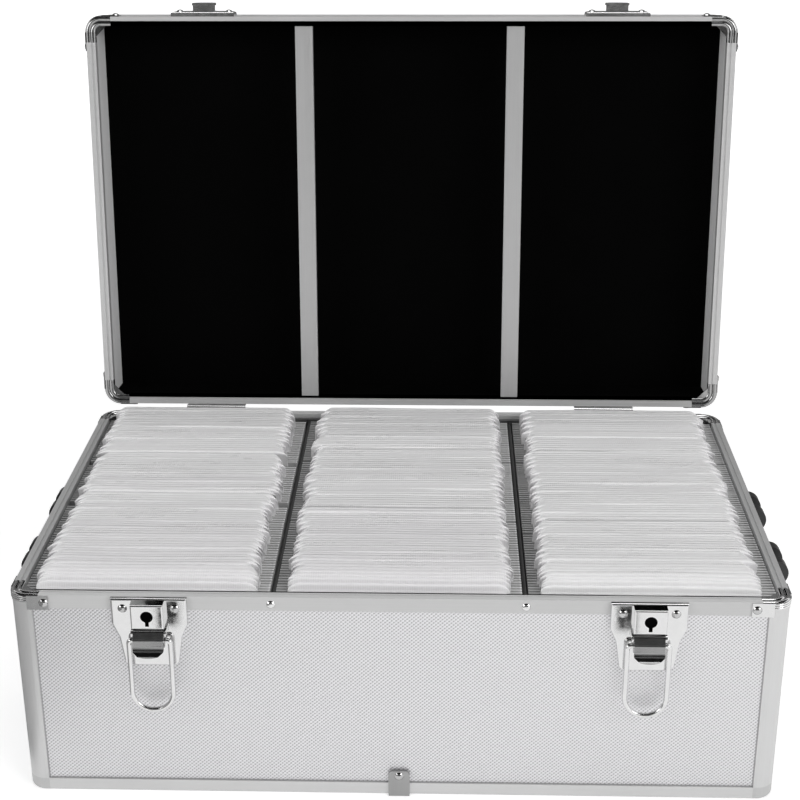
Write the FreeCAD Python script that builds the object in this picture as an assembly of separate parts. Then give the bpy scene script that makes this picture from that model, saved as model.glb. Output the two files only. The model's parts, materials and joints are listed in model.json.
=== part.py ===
import FreeCAD, Part
import math
import os

# Storage case for discs: a framed box with hanging sleeves in three rows, and a hinged lid.
# Lengths are millimetres and angles are degrees. X runs along the front, Y to the back and Z up.
# The origin is the middle of the underside. The lid stands open on its hinge stops.

# Case
case_width = 460.0
case_depth = 285.0
box_height = 138.0
lid_height = 40.0
lid_open_angle = 96.0
parting_gap = 0.3

# Walls: boards held by thin extruded profiles
board_thickness = 4.0
profile_wall = 1.2
post_radius = 11.0
post_lip = 2.5
edge_height = 9.0
edge_radius = 2.5

# Rim channel that caps the boards
rim_inner_wall = 1.3
rim_web = 1.6
rim_flange = 9.0
rim_inner_leg = 6.0
rim_groove_width = 1.4
rim_groove_depth = 0.7
rim_groove_inset = 3.4

# Rim corner fittings
corner_reach = 18.0
corner_height = 5.0
corner_bead_count = 3
corner_bead_rise = 0.7
corner_top_bead_count = 2
corner_top_bead_rise = 0.8
corner_gusset_leg = 8.0
corner_tab_length = 13.0
corner_tab_height = 9.0
corner_tab_drop = 0.5
corner_tab_thickness = 0.8

# Clips on the bottom edge
clip_width = 13.0
clip_height = 18.0
clip_wall = 1.0
clip_corner_radius = 3.0
clip_rivet_drop = 3.6

# Rivets
rivet_radius = 2.8
rivet_rise = 1.5

# Latch plates
latch_inset = 83.5
latch_width = 45.0
latch_neck_width = 37.6
latch_foot_width = 33.0
latch_height = 45.0
latch_top_drop = 0.4
latch_wide_length = 17.0
latch_shoulder_length = 8.5
latch_foot_radius = 4.0
latch_rise = 3.0
latch_sheet = 1.4
latch_roll_radius = 1.3
latch_rivet_offset = 15.4
latch_rivet_drop = 6.8

# Lock cases, keyholes and the cams that turn behind them
lock_width = 19.3
lock_rise = 7.0
lock_top_drop = 1.0
lock_height = 15.8
lock_wall = 1.2
lock_edge_radius = 1.0
keyhole_drop = 8.5
keyhole_radius = 3.7
keyhole_slot_width = 2.2
keyhole_slot_length = 6.3
cam_radius = 5.2
cam_play = 0.3
cam_axle_radius = 1.5
cam_tongue_reach = 6.7
cam_tongue_width = 3.0
cam_tongue_thickness = 2.0

# Latch levers
lever_width = 18.0
lever_sheet = 1.6
lever_eye_radius = 3.0
lever_pivot_rise = 3.6
lever_pivot_drop = 21.2
lever_slope_angle = 35.0
lever_slope_length = 4.05
lever_face_height = 2.3
lever_lip_curl_radius = 6.0
lever_lip_curl_angle = 65.0
lever_lip_sag = 3.4
lever_cheek_drop = 9.8
lever_cheek_heel_drop = 6.3
lever_pin_radius = 1.25
lever_ear_radius = 2.4
lever_ear_sheet = 1.2
lever_side_play = 0.2

# Wire bails
bail_wire_radius = 1.5
bail_pivot_drop = 4.8
bail_reach = 47.7
bail_half_width = 12.3
bail_bend_radius = 2.0
bail_tip_depth = 1.8

# Keepers on the lid
keeper_height = 29.0
keeper_wide_length = 15.0
keeper_top_width = 33.0
keeper_rivet_offset = 17.5
keeper_rivet_rise = 11.5
keeper_neck_radius = 7.6
keeper_lip_radius = 8.2
keeper_lip_lift = 2.0
keeper_lip_sheet = 1.6
keeper_groove_width = 4.4
keeper_hook_foot = 7.0
keeper_seat_play = 0.3

# Hinges
hinge_inset = 84.0
hinge_width = 44.0
hinge_middle_width = 14.0
hinge_axis_rise = 3.5
hinge_barrel_radius = 3.1
hinge_pin_radius = 1.5
hinge_leaf_length = 24.0
hinge_leaf_sheet = 1.6
hinge_side_play = 0.2
hinge_swing_play = 0.4
hinge_rivet_offset = 13.0
hinge_rivet_drop = 16.0

# Side handles
handle_half_span = 38.0
handle_mount_width = 28.0
handle_mount_height = 36.0
handle_mount_base = 3.0
handle_pivot_rise = 8.5
handle_pivot_drop = 30.0
handle_nose_radius = 9.0
handle_base_drop = 14.0
handle_arm_width = 11.0
handle_arm_thickness = 10.0
handle_arm_play = 0.5
handle_drop = 46.0
handle_bar_height = 13.0
handle_corner_radius = 8.0
handle_edge_radius = 2.5
handle_pin_radius = 2.0

# Rails that carry the hangers
rail_sheet = 1.4
rail_ledge = 7.0
rail_side_leg = 9.0
rail_web = 2.0
rail_web_rise = 8.0
rail_web_drop = 6.0
bracket_width = 23.0
bracket_height = 17.0
bracket_thickness = 3.0
bracket_drop = 3.0
screw_drop = 5.0
screw_shank_radius = 1.5
screw_head_radius = 2.6
screw_head_rise = 1.3

# Hanging sleeves: a stiff hanger and a soft pouch each
sleeve_pitch = 3.25
pouch_thickness = 1.5
pouch_rise = 8.0
pouch_floor_gap = 2.8
hanger_thickness = 1.55
hanger_height = 11.0
hanger_drop = 3.0
hanger_horn = 7.0
hanger_end_gap = 0.9
hanger_rest_gap = 0.1
row_end_gap = 2.0
row_bunch_shares = {
    "left": (0.455, 0.24, 0.305),
    "middle": (0.37, 0.35, 0.28),
    "right": (0.30, 0.42, 0.28),
}
row_bunch_gaps = {"left": 6.0, "middle": 1.6, "right": 1.6}

# Inside of the lid
lining_thickness = 1.5
liner_thickness = 1.0
lid_bar_width = 12.4
lid_bar_depth = 5.0
lid_bar_sheet = 1.2
lid_bar_inset = 1.0
lid_bar_end_gap = 0.2

# Fits
pin_play = 0.05
hole_play = 0.1
edge_gap = 0.2
overrun = 5.0

# Worked out from the sizes above
wall = profile_wall + board_thickness
leaf = post_radius + post_lip
rim_width = wall + rim_inner_wall
interior_width = case_width - 2 * wall
row_pitch = interior_width / len(row_bunch_shares)
rail_top = box_height - hanger_drop - hanger_height - hanger_rest_gap
lid_rim_z = box_height + parting_gap
hinge_y = case_depth / 2 + hinge_axis_rise
latch_offset = case_width / 2 - latch_inset
hinge_offset = case_width / 2 - hinge_inset
lever_out = latch_rise + lever_pivot_rise
lever_z = box_height - lever_pivot_drop
bail_z = lever_z - bail_pivot_drop
handle_z = box_height - handle_pivot_drop
bracket_back = rim_width + bracket_thickness

HALF = math.degrees(math.pi)
QUARTER = HALF / 2
FULL = 2 * HALF
SIDES = ("front", "right", "back", "left")
ORIGIN = FreeCAD.Vector(0, 0, 0)
X_AXIS = FreeCAD.Vector(1, 0, 0)
Y_AXIS = FreeCAD.Vector(0, 1, 0)
Z_AXIS = FreeCAD.Vector(0, 0, 1)


def vec(x, y, z):
    return FreeCAD.Vector(x, y, z)


def block(x, y, z):
    """A box from three (low, high) pairs."""
    return Part.makeBox(x[1] - x[0], y[1] - y[0], z[1] - z[0], vec(x[0], y[0], z[0]))


def loop(start, *steps):
    """A closed wire. A step is the next point, or a pair: a point on an arc and the arc's end."""
    edges = []
    here = start
    for step in steps + (start,):
        if isinstance(step, tuple):
            edges.append(Part.Arc(here, step[0], step[1]).toShape())
            here = step[1]
        elif here.distanceToPoint(step) > Part.Precision.confusion():
            edges.append(Part.makeLine(here, step))
            here = step
    return Part.Wire(edges)


def prism(wire, direction):
    return Part.Face(wire).extrude(direction)


def rod(radius, start, end):
    along = end.sub(start)
    return Part.makeCylinder(radius, along.Length, start, along)


def moved(shape, x, y, z):
    out = shape.copy()
    out.translate(vec(x, y, z))
    return out


def turned(shape, centre, axis, angle):
    out = shape.copy()
    out.rotate(centre, axis, angle)
    return out


def arc_point(centre, radius, angle, across, along):
    """A point on a circle, at an angle from the direction across towards the direction along."""
    a = math.radians(angle)
    return centre + across * (radius * math.cos(a)) + along * (radius * math.sin(a))


def joined(first, *others):
    return first.fuse(list(others)).removeSplitter()


def single(shape):
    """The one solid that a boolean result holds."""
    (solid,) = shape.Solids
    return solid


# Frames. A wall frame has X along the wall, Y inwards from its outer face and Z up.
# A corner frame has its origin at the outer corner, with the inside towards -X and +Y.


def on_wall(shape, side):
    step = SIDES.index(side)
    place = {
        "front": (0, -case_depth / 2),
        "right": (case_width / 2, 0),
        "back": (0, case_depth / 2),
        "left": (-case_width / 2, 0),
    }[side]
    return moved(turned(shape, ORIGIN, Z_AXIS, QUARTER * step), place[0], place[1], 0)


def wall_length(side):
    return case_width if side in ("front", "back") else case_depth


def at_corners(shape):
    out = []
    for step, (right, back) in enumerate(((1, -1), (1, 1), (-1, 1), (-1, -1))):
        spun = turned(shape, ORIGIN, Z_AXIS, QUARTER * step)
        out.append(moved(spun, right * case_width / 2, back * case_depth / 2, 0))
    return out


def upturned(shape):
    """Turns a tray over, so that its rim faces down on the box's rim."""
    return moved(turned(shape, ORIGIN, X_AXIS, HALF), 0, 0, lid_rim_z + lid_height)


def opened(shape):
    return turned(shape, vec(0, hinge_y, box_height), X_AXIS, -lid_open_angle)


# Tray: the box and the lid are both built as one, with the rim at the top


def tray_wall(side, height):
    half = wall_length(side) / 2 - post_radius
    board = block((-half, half), (profile_wall, wall), (profile_wall, height - rim_web))
    return on_wall(board, side)


def tray_floor():
    """A board whose edge is rebated for the profile, so that both are flush outside."""
    upper = block(
        (wall - case_width / 2, case_width / 2 - wall),
        (wall - case_depth / 2, case_depth / 2 - wall),
        (profile_wall, wall),
    )
    lower = block(
        (leaf - case_width / 2, case_width / 2 - leaf),
        (leaf - case_depth / 2, case_depth / 2 - leaf),
        (0, profile_wall),
    )
    return single(joined(upper, lower))


def quarter_arc(radius):
    """Middle and end of the arc from the front wall round to the side wall, in a corner frame."""
    centre = vec(-post_radius, post_radius, 0)
    return (
        arc_point(centre, radius, QUARTER / 2, vec(0, -1, 0), X_AXIS),
        arc_point(centre, radius, QUARTER, vec(0, -1, 0), X_AXIS),
    )


def post(low, high):
    """A corner post with two lips, which takes the ends of two boards."""
    outline = loop(
        vec(-leaf, 0, low),
        vec(-post_radius, 0, low),
        tuple(p + Z_AXIS * low for p in quarter_arc(post_radius)),
        vec(0, leaf, low),
        vec(-profile_wall, leaf, low),
        vec(-profile_wall, post_radius, low),
        vec(-wall, post_radius, low),
        vec(-wall, wall, low),
        vec(-post_radius, wall, low),
        vec(-post_radius, profile_wall, low),
        vec(-leaf, profile_wall, low),
    )
    return prism(outline, vec(0, 0, high - low))


def tray_posts(height):
    return at_corners(post(edge_height, height - corner_height))


def tray_edge(side):
    length = wall_length(side) - 2 * leaf
    start = -length / 2
    round_centre = vec(start, edge_radius, edge_radius)
    outline = loop(
        vec(start, 0, edge_height),
        vec(start, 0, edge_radius),
        (
            arc_point(round_centre, edge_radius, QUARTER / 2, vec(0, -1, 0), vec(0, 0, -1)),
            vec(start, edge_radius, 0),
        ),
        vec(start, leaf, 0),
        vec(start, leaf, profile_wall),
        vec(start, profile_wall, profile_wall),
        vec(start, profile_wall, edge_height),
    )
    return on_wall(prism(outline, vec(length, 0, 0)), side)


def round_corner(section, reach):
    """Carries a section round a corner: a quarter turn between two straight ends."""
    face = Part.Face(section)
    centre = vec(-post_radius, post_radius, 0)
    straight = face.extrude(vec(post_radius - reach, 0, 0))
    bend = face.revolve(centre, Z_AXIS, QUARTER)
    far = turned(face, centre, Z_AXIS, QUARTER).extrude(vec(0, reach - post_radius, 0))
    return joined(straight, bend, far)


def tray_caps():
    """Feet under the posts, flush with them and with the edge profiles."""
    plate = loop(
        vec(-leaf, 0, 0),
        vec(-post_radius, 0, 0),
        quarter_arc(post_radius),
        vec(0, leaf, 0),
        vec(-leaf, leaf, 0),
    )
    foot = single(joined(post(0, edge_height), prism(plate, vec(0, 0, profile_wall))).removeSplitter())
    toe = []
    for edge in foot.Edges:
        if all(v.Z < edge_gap and min(abs(v.X), abs(v.Y)) < edge_gap for v in edge.Vertexes):
            toe.append(edge)
    return at_corners(foot.makeFillet(edge_radius, toe))


def tray_rim(side, height):
    length = wall_length(side) - 2 * corner_reach
    start = -length / 2
    near = rim_groove_inset
    far = rim_groove_inset + rim_groove_width
    outline = loop(
        vec(start, 0, height - rim_flange),
        vec(start, 0, height),
        vec(start, near, height),
        vec(start, near, height - rim_groove_depth),
        vec(start, far, height - rim_groove_depth),
        vec(start, far, height),
        vec(start, rim_width, height),
        vec(start, rim_width, height - rim_inner_leg),
        vec(start, wall, height - rim_inner_leg),
        vec(start, wall, height - rim_web),
        vec(start, profile_wall, height - rim_web),
        vec(start, profile_wall, height - rim_flange),
    )
    return on_wall(prism(outline, vec(length, 0, 0)), side)


def tray_rim_corners(height):
    at = -post_radius
    foot = height - corner_height
    ledge = height - corner_top_bead_rise
    bead = (ledge - foot) / corner_bead_count
    top_bead = rim_width / corner_top_bead_count
    beads = []
    for n in range(corner_bead_count):
        low = foot + n * bead
        beads.append((vec(at, -corner_bead_rise, low + bead / 2), vec(at, 0, low + bead)))
    for n in range(corner_top_bead_count):
        near = n * top_bead
        beads.append((vec(at, near + top_bead / 2, height), vec(at, near + top_bead, ledge)))
    section = loop(
        vec(at, 0, foot),
        *beads,
        vec(at, rim_width, foot),
        vec(at, wall, foot),
        vec(at, wall, height - rim_web),
        vec(at, profile_wall, height - rim_web),
        vec(at, profile_wall, foot),
    )
    top = height - corner_tab_drop
    tab = block(
        (-post_radius - corner_tab_length, -post_radius),
        (-corner_tab_thickness, 0),
        (top - corner_tab_height, top),
    )
    side_tab = tab.mirror(ORIGIN, vec(1, 1, 0))
    inner = rim_width + corner_gusset_leg
    gusset = loop(
        vec(-rim_width, rim_width, height - rim_web),
        vec(-inner, rim_width, height - rim_web),
        vec(-rim_width, inner, height - rim_web),
    )
    plate = prism(gusset, vec(0, 0, ledge - height + rim_web))
    return at_corners(single(joined(round_corner(section, corner_reach), plate, tab, side_tab)))


# Fasteners, in a wall frame


def dome(radius, rise):
    """A round head whose flat side is at the origin, facing outwards along -Y."""
    ball = (radius * radius + rise * rise) / (2 * rise)
    sweep = math.degrees(math.asin(radius / ball))
    centre = vec(0, ball - rise, 0)
    outline = loop(
        ORIGIN,
        vec(radius, 0, 0),
        (arc_point(centre, ball, sweep / 2, -Y_AXIS, X_AXIS), vec(0, -rise, 0)),
    )
    return single(Part.Face(outline).revolve(ORIGIN, Y_AXIS, FULL))


def rivet(x, out, z):
    return moved(dome(rivet_radius, rivet_rise), x, -out, z)


def both_ways(shape, distance):
    """Two copies of a shape, at equal distances either side of the middle."""
    return [moved(shape, -distance, 0, 0), moved(shape, distance, 0, 0)]


def edge_clip():
    """A riveted plate that laps over the bottom profile on to the board."""
    half = clip_width / 2
    corner = vec(half - clip_corner_radius, 0, clip_height - clip_corner_radius)
    other = vec(-corner.x, 0, corner.z)
    outline = loop(
        vec(-half, -clip_wall, 0),
        vec(half, -clip_wall, 0),
        vec(half, -clip_wall, corner.z),
        (
            arc_point(corner, clip_corner_radius, QUARTER / 2, X_AXIS, Z_AXIS) - Y_AXIS * clip_wall,
            vec(corner.x, -clip_wall, clip_height),
        ),
        vec(other.x, -clip_wall, clip_height),
        (
            arc_point(other, clip_corner_radius, QUARTER / 2, -X_AXIS, Z_AXIS) - Y_AXIS * clip_wall,
            vec(-half, -clip_wall, other.z),
        ),
    )
    plate = prism(outline, vec(0, clip_wall, 0))
    back = block((-half, half), (0, profile_wall), (edge_height, corner.z))
    return single(joined(plate, back))


# Rails and their brackets


def rail_length(end):
    return case_depth - 2 * end


def side_rail():
    """An angle on the side wall, in a wall frame."""
    half = rail_length(wall) / 2
    ledge = block((-half, half), (wall, wall + rail_ledge), (rail_top - rail_sheet, rail_top))
    leg = block((-half, half), (wall, wall + rail_sheet), (rail_top - rail_side_leg, rail_top))
    return single(joined(ledge, leg))


def divider_rail():
    """A tee along Y that carries the hangers of two rows."""
    half = rail_length(bracket_back) / 2
    ledge = block((-rail_ledge, rail_ledge), (-half, half), (rail_top - rail_sheet, rail_top))
    web = block(
        (-rail_web / 2, rail_web / 2),
        (-half, half),
        (rail_top - rail_web_drop, rail_top + rail_web_rise),
    )
    return single(joined(ledge, web))


def screw_hole(x):
    z = box_height - screw_drop
    return rod(screw_shank_radius + hole_play, vec(x, -overrun, z), vec(x, bracket_back + overrun, z))


def rail_bracket():
    """Holds a rail's end to the wall: its foot reaches under the rim channel to the board."""
    half = bracket_width / 2
    top = box_height - bracket_drop
    foot = top - bracket_height
    plate = block((-half, half), (rim_width, bracket_back), (foot, top))
    pad = block((-half, half), (wall, rim_width), (foot, box_height - rim_inner_leg - edge_gap))
    return single(joined(plate, pad).cut(screw_hole(0)))


def rail_screw():
    z = box_height - screw_drop
    shank = rod(screw_shank_radius, ORIGIN, vec(0, bracket_back, 0))
    return moved(single(joined(dome(screw_head_radius, screw_head_rise), shank)), 0, 0, z)


def screwed(shape):
    """A front or back piece with holes for the rail screws."""
    for side in ("front", "back"):
        for x in (-row_pitch / 2, row_pitch / 2):
            shape = shape.cut(on_wall(screw_hole(x), side))
    return single(shape)


# Sleeves


def sleeve_starts(row):
    """Where each sleeve of a row starts along Y, from front to back, in bunches."""
    shares = row_bunch_shares[row]
    gap = row_bunch_gaps[row]
    front = bracket_back + row_end_gap - case_depth / 2
    total = int((-2 * front - gap * (len(shares) - 1)) / sleeve_pitch)
    starts = []
    for bunch in range(len(shares)):
        end = round(total * sum(shares[: bunch + 1]))
        starts += [front + n * sleeve_pitch + bunch * gap for n in range(len(starts), end)]
    return starts


def sleeve_row(row, centre):
    half_hanger = (row_pitch - rail_web) / 2 - hanger_end_gap
    half_pouch = half_hanger - hanger_horn
    top = box_height - hanger_drop
    hangers = []
    pouches = []
    for y in sleeve_starts(row):
        back = y + pouch_thickness
        pouches.append(
            block(
                (centre - half_pouch, centre + half_pouch),
                (y, back),
                (wall + pouch_floor_gap, box_height + pouch_rise),
            )
        )
        hangers.append(
            block(
                (centre - half_hanger, centre + half_hanger),
                (back, back + hanger_thickness),
                (top - hanger_height, top),
            )
        )
    return hangers, pouches


# Latches, in a wall frame with the latch's middle at X = 0


def front_edges(shape, out):
    """Edges that lie in the plane at a distance outside the wall."""
    found = []
    for edge in shape.Edges:
        if all(abs(v.Y + out) < edge_gap for v in edge.Vertexes):
            found.append(edge)
    return found


def pressed_plate(outline, flange_low, flange_high):
    """A plate with rolled edges that stands on the board and on the rim flange, hollow behind."""
    skin = Part.Face(outline)
    solid = skin.extrude(vec(0, latch_rise + profile_wall, 0))
    solid = solid.makeFillet(latch_roll_radius, front_edges(solid, latch_rise))
    hollow = skin.makeOffset2D(-latch_sheet).extrude(vec(0, latch_rise + profile_wall, 0))
    half = latch_width / 2 + overrun
    flange = block((-half, half), (0, profile_wall + overrun), (flange_low, flange_high))
    return solid.cut([moved(hollow, 0, latch_sheet, 0), flange])


def latch_outline():
    top = box_height - latch_top_drop
    wide = latch_width / 2
    neck = latch_neck_width / 2
    foot = latch_foot_width / 2
    shoulder = top - latch_wide_length
    below = shoulder - latch_shoulder_length
    bottom = top - latch_height
    out = -latch_rise
    bend = vec(foot - latch_foot_radius, out, bottom + latch_foot_radius)
    other = vec(-bend.x, out, bend.z)
    return loop(
        vec(-wide, out, top),
        vec(wide, out, top),
        vec(wide, out, shoulder),
        vec(neck, out, below),
        vec(foot, out, bend.z),
        (arc_point(bend, latch_foot_radius, QUARTER / 2, X_AXIS, -Z_AXIS), vec(bend.x, out, bottom)),
        vec(other.x, out, bottom),
        (arc_point(other, latch_foot_radius, QUARTER / 2, -X_AXIS, -Z_AXIS), vec(-foot, out, other.z)),
        vec(-neck, out, below),
        vec(-wide, out, shoulder),
    )


def lever_ear():
    """A lug that carries the lever's pin, from the plate's face out to round the pin."""
    x = lever_width / 2 + lever_side_play
    root = -(latch_rise - latch_sheet / 2)
    pivot = vec(x, -lever_out, lever_z)
    outline = loop(
        vec(x, root, lever_z - lever_ear_radius),
        vec(x, -lever_out, lever_z - lever_ear_radius),
        (pivot - Y_AXIS * lever_ear_radius, vec(x, -lever_out, lever_z + lever_ear_radius)),
        vec(x, root, lever_z + lever_ear_radius),
    )
    return prism(outline, vec(lever_ear_sheet, 0, 0))


def latch_plate():
    low = box_height - rim_flange - edge_gap
    plate = pressed_plate(latch_outline(), low, box_height + overrun)
    ear = lever_ear()
    plate = joined(plate, ear, ear.mirror(ORIGIN, X_AXIS))
    half = lever_width / 2 + overrun
    pin = rod(lever_pin_radius + pin_play, vec(-half, -lever_out, lever_z), vec(half, -lever_out, lever_z))
    key_z = box_height - keyhole_drop
    axle = rod(cam_axle_radius + pin_play, vec(0, -latch_rise - overrun, key_z), vec(0, 0, key_z))
    return single(plate.cut([pin, axle]))


def lock_case():
    top = box_height - lock_top_drop
    bottom = top - lock_height
    half = lock_width / 2
    out = latch_rise + lock_rise
    shell = block((-half, half), (-out, -latch_rise), (bottom, top))
    shell = shell.makeFillet(lock_edge_radius, front_edges(shell, out))
    inside = block(
        (lock_wall - half, half - lock_wall),
        (lock_wall - out, -latch_rise + overrun),
        (bottom + lock_wall, top - lock_wall),
    )
    key_z = box_height - keyhole_drop
    hole = rod(keyhole_radius, vec(0, -out - overrun, key_z), vec(0, -latch_rise, key_z))
    slot = block(
        (-keyhole_slot_width / 2, keyhole_slot_width / 2),
        (-out - overrun, -latch_rise),
        (key_z - keyhole_slot_length, key_z),
    )
    return single(shell.cut([inside, hole, slot]))


def lock_cam():
    """A disc with a tongue, turned by the key on an axle in the latch plate."""
    key_z = box_height - keyhole_drop
    back = -latch_rise - cam_play
    front = lock_wall + cam_play - latch_rise - lock_rise
    disc = rod(cam_radius, vec(0, back, key_z), vec(0, front, key_z))
    tongue = block(
        (0, cam_tongue_reach),
        (back - cam_tongue_thickness, back),
        (key_z - cam_tongue_width / 2, key_z + cam_tongue_width / 2),
    )
    axle = rod(cam_axle_radius, vec(0, -latch_rise + latch_sheet, key_z), vec(0, back, key_z))
    return single(joined(disc, tongue, axle))


def at_lever(out, drop, x):
    """A point placed from the lever's pivot: outwards and down."""
    return vec(x, -lever_out - out, lever_z - drop)


def lever_point(centre, radius, rise, x):
    """A point at an angle above the outward direction, round a centre given as out and drop."""
    angle = math.radians(rise)
    return at_lever(centre[0] + radius * math.cos(angle), centre[1] - radius * math.sin(angle), x)


def lever_knee():
    """Centre of the round bend between the slope and the upright face, as out and drop."""
    slope = math.radians(lever_slope_angle)
    return lever_slope_length * math.sin(slope), lever_slope_length * math.cos(slope)


def lever_lip():
    """Centre of the lip's hollow curl, as out and drop."""
    knee = lever_knee()
    return knee[0] + lever_eye_radius + lever_lip_curl_radius, knee[1] + lever_face_height


def lever_sheet_outline(x):
    """The lever's bent sheet seen from the side: eye, slope, upright face and curled lip."""
    outer = lever_eye_radius
    inner = lever_eye_radius - lever_sheet
    slope = lever_slope_angle
    eye = (0, 0)
    knee = lever_knee()
    lip = lever_lip()
    near = -lever_lip_curl_radius
    far = near - lever_sheet
    curl = lever_lip_curl_angle
    return loop(
        lever_point(eye, outer, QUARTER, x),
        (lever_point(eye, outer, (QUARTER + slope) / 2, x), lever_point(eye, outer, slope, x)),
        lever_point(knee, outer, slope, x),
        (lever_point(knee, outer, slope / 2, x), lever_point(knee, outer, 0, x)),
        lever_point(lip, near, 0, x),
        (lever_point(lip, near, curl / 2, x), lever_point(lip, near, curl, x)),
        lever_point(lip, far, curl, x),
        (lever_point(lip, far, curl / 2, x), lever_point(lip, far, 0, x)),
        lever_point(knee, inner, 0, x),
        (lever_point(knee, inner, slope / 2, x), lever_point(knee, inner, slope, x)),
        lever_point(eye, inner, slope, x),
        (lever_point(eye, inner, (QUARTER + slope) / 2, x), lever_point(eye, inner, QUARTER, x)),
    )


def lever_cheek_outline(x):
    eye = (0, 0)
    knee = lever_knee()
    radius = lever_eye_radius
    middle = radius - lever_sheet / 2
    slope = lever_slope_angle
    return loop(
        at_lever(-radius, 0, x),
        (lever_point(eye, radius, HALF - QUARTER / 2, x), lever_point(eye, radius, QUARTER, x)),
        lever_point(eye, middle, slope, x),
        lever_point(knee, middle, slope, x),
        lever_point(knee, middle, 0, x),
        at_lever(knee[0] + middle, knee[1] + lever_face_height, x),
        at_lever(0, lever_cheek_drop, x),
        at_lever(-radius, lever_cheek_heel_drop, x),
    )


def lever_face():
    """The lever's outline from the front, with a lip that is round below."""
    half = lever_width / 2
    top = lever_z + lever_eye_radius + overrun
    tip = lever_point(lever_lip(), -lever_lip_curl_radius - lever_sheet, lever_lip_curl_angle, 0)
    side = tip.z + lever_lip_sag
    return loop(
        vec(-half, -lever_out, top),
        vec(half, -lever_out, top),
        vec(half, -lever_out, side),
        (vec(0, -lever_out, tip.z), vec(-half, -lever_out, side)),
    )


def latch_lever():
    half = lever_width / 2
    sheet = prism(lever_sheet_outline(-half), vec(lever_width, 0, 0))
    cheek = prism(lever_cheek_outline(-half), vec(lever_sheet, 0, 0))
    body = joined(sheet, cheek, cheek.mirror(ORIGIN, X_AXIS))
    reach = lever_lip()[0] + overrun
    front = moved(prism(lever_face(), vec(0, 2 * reach, 0)), 0, -reach, 0)
    body = body.common(front)
    side = half + overrun
    pin = rod(lever_pin_radius + pin_play, at_lever(0, 0, -side), at_lever(0, 0, side))
    wire = rod(
        bail_wire_radius + pin_play,
        at_lever(0, bail_pivot_drop, -side),
        at_lever(0, bail_pivot_drop, side),
    )
    return single(body.cut([pin, wire]).removeSplitter())


def lever_pin():
    half = lever_width / 2 + lever_side_play + lever_ear_sheet
    return rod(lever_pin_radius, at_lever(0, 0, -half), at_lever(0, 0, half))


def latch_bail():
    """A bent wire whose ends turn in through the lever's cheeks, hanging below them."""
    half = bail_half_width
    bend = bail_bend_radius
    tip = lever_width / 2 - bail_tip_depth
    bottom = bail_z - bail_reach + half
    y = -lever_out
    left = vec(bend - half, y, bail_z - bend)
    right = vec(-left.x, y, left.z)
    path = Part.Wire(
        [
            Part.makeLine(vec(-tip, y, bail_z), vec(left.x, y, bail_z)),
            Part.Arc(
                vec(left.x, y, bail_z),
                arc_point(left, bend, QUARTER / 2, -X_AXIS, Z_AXIS),
                vec(-half, y, left.z),
            ).toShape(),
            Part.makeLine(vec(-half, y, left.z), vec(-half, y, bottom)),
            Part.Arc(vec(-half, y, bottom), vec(0, y, bottom - half), vec(half, y, bottom)).toShape(),
            Part.makeLine(vec(half, y, bottom), vec(half, y, right.z)),
            Part.Arc(
                vec(half, y, right.z),
                arc_point(right, bend, QUARTER / 2, X_AXIS, Z_AXIS),
                vec(right.x, y, bail_z),
            ).toShape(),
            Part.makeLine(vec(right.x, y, bail_z), vec(tip, y, bail_z)),
        ]
    )
    ring = Part.Wire(Part.makeCircle(bail_wire_radius, vec(-tip, y, bail_z), X_AXIS))
    return single(path.makePipeShell([ring], True, False))


# Keepers on the lid's front, in a wall frame, with the lid closed


def keeper_outline():
    low = lid_rim_z + latch_top_drop
    wide = latch_width / 2
    narrow = keeper_top_width / 2
    shoulder = low + keeper_wide_length
    top = low + keeper_height
    out = -latch_rise
    return loop(
        vec(-wide, out, low),
        vec(wide, out, low),
        vec(wide, out, shoulder),
        vec(narrow, out, top),
        vec(-narrow, out, top),
        vec(-wide, out, shoulder),
    )


def hook_outline(radius, lift, y):
    """A tongue with a round top, placed so that the bail's wire seats on the neck."""
    seat = bail_z + bail_reach - bail_wire_radius - keeper_seat_play
    centre = seat - keeper_neck_radius + lift
    foot = lid_rim_z + keeper_hook_foot
    return loop(
        vec(-radius, y, foot),
        vec(radius, y, foot),
        vec(radius, y, centre),
        (vec(0, y, centre + radius), vec(-radius, y, centre)),
    )


def latch_keeper():
    plate = pressed_plate(keeper_outline(), -overrun, lid_rim_z + rim_flange + edge_gap)
    root = -(latch_rise - latch_sheet / 2)
    lip = -latch_rise - keeper_groove_width
    neck = prism(hook_outline(keeper_neck_radius, 0, root), vec(0, lip - root, 0))
    tongue = prism(hook_outline(keeper_lip_radius, keeper_lip_lift, lip), vec(0, -keeper_lip_sheet, 0))
    return single(joined(plate, neck, tongue))


# Hinges on the back, in a wall frame, with the lid closed


def hinge_barrel(low, high):
    start = vec(low, -hinge_axis_rise, box_height)
    end = vec(high, -hinge_axis_rise, box_height)
    return rod(hinge_barrel_radius, start, end)


def hinge_bore():
    half = hinge_width / 2 + overrun
    start = vec(-half, -hinge_axis_rise, box_height)
    end = vec(half, -hinge_axis_rise, box_height)
    return rod(hinge_pin_radius + pin_play, start, end)


def hinge_box_leaf():
    half = hinge_width / 2
    middle = hinge_middle_width / 2 + hinge_side_play
    clear = box_height - hinge_barrel_radius - hinge_swing_play
    low = box_height - hinge_leaf_length
    plate = block((-half, half), (-hinge_leaf_sheet, 0), (low, clear))
    pad = block((-half, half), (0, profile_wall), (low, box_height - rim_flange - edge_gap))
    pieces = [pad]
    for start, end in ((-half, -middle), (middle, half)):
        pieces.append(hinge_barrel(start, end))
        pieces.append(block((start, end), (-hinge_leaf_sheet, -hinge_swing_play), (clear, box_height)))
    return single(joined(plate, *pieces).cut(hinge_bore()))


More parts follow.
